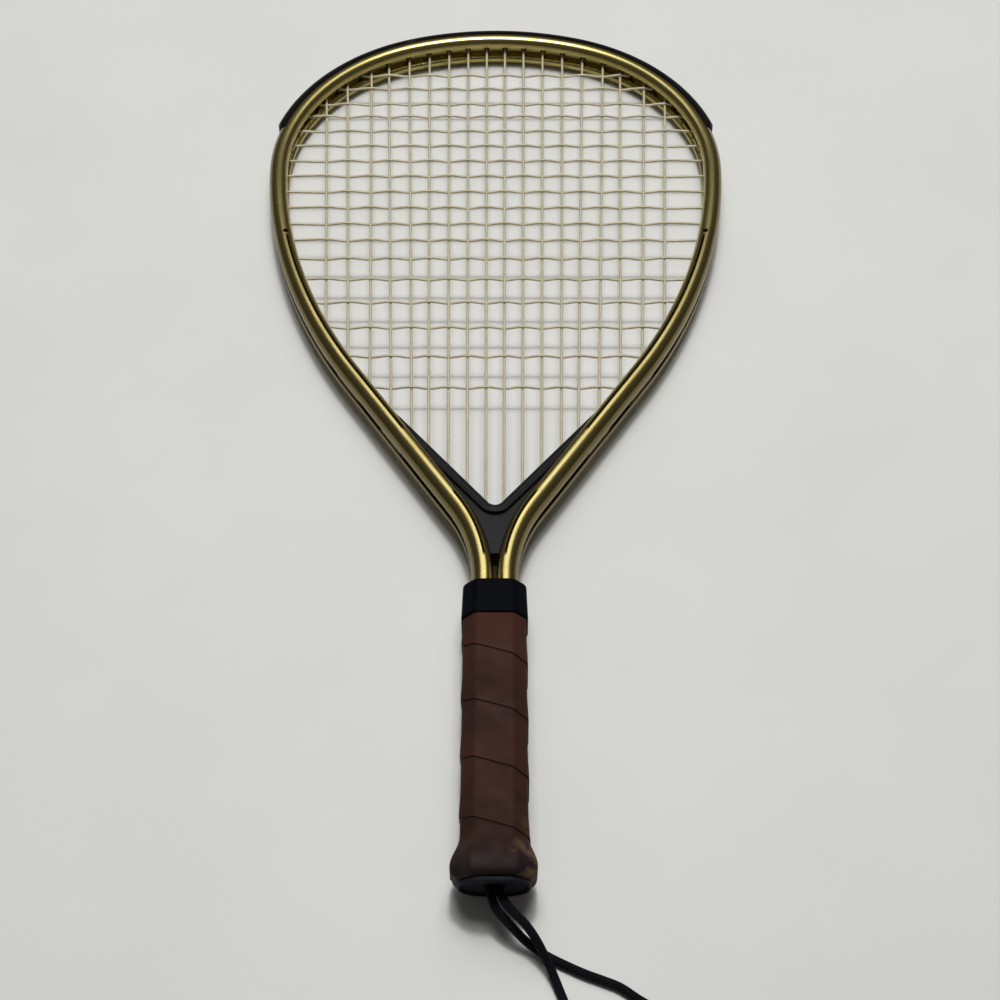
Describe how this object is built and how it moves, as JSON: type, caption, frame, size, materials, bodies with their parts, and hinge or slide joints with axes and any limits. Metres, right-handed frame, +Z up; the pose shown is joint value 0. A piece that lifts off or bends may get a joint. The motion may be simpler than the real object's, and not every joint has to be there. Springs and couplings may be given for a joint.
{
  "type": "racquetball racket",
  "caption": "Short racket with a bent metal frame in a teardrop shape, a woven string bed, a moulded throat yoke, a bumper, a leather-wound handle and a wrist cord",
  "frame": {"origin": "on the ground, at the middle of the racket's outline from head to butt, without the wrist cord", "axes": "+Y from the butt to the head, +X to the right across the head, +Z up; the racket lies on its back"},
  "size_m": [0.2378, 0.6427, 0.0334],
  "materials": {
    "gold_aluminium": "gold anodised",
    "black_nylon": "moulded, satin",
    "string": "translucent tan",
    "brown_leather": "smooth, worn",
    "dark_rubber": "matt",
    "grey_rubber": "matt",
    "foam": "moulded foam",
    "steel": "drawn",
    "dark_braid": "braided cord"
  },
  "bodies": {
    "root": {"frame": "gold_aluminium", "grommet_strip_head": "black_nylon", "grommet_strip_left": "black_nylon", "grommet_strip_right": "black_nylon", "bumper_guard": "black_nylon", "throat_yoke": "black_nylon", "main_string": "string", "cross_string": "string", "cross_string_first_row": "string", "cross_string_second_row": "string", "cross_string_last_row": "string", "handle_pallet_front": "foam", "handle_pallet_back": "foam", "handle_pin_rear": "steel", "handle_pin_front": "steel", "leather_grip": "brown_leather", "collar": "dark_rubber", "butt_cap": "grey_rubber", "cord_knot": "dark_braid", "wrist_cord": "dark_braid"}
  },
  "joints": []
}
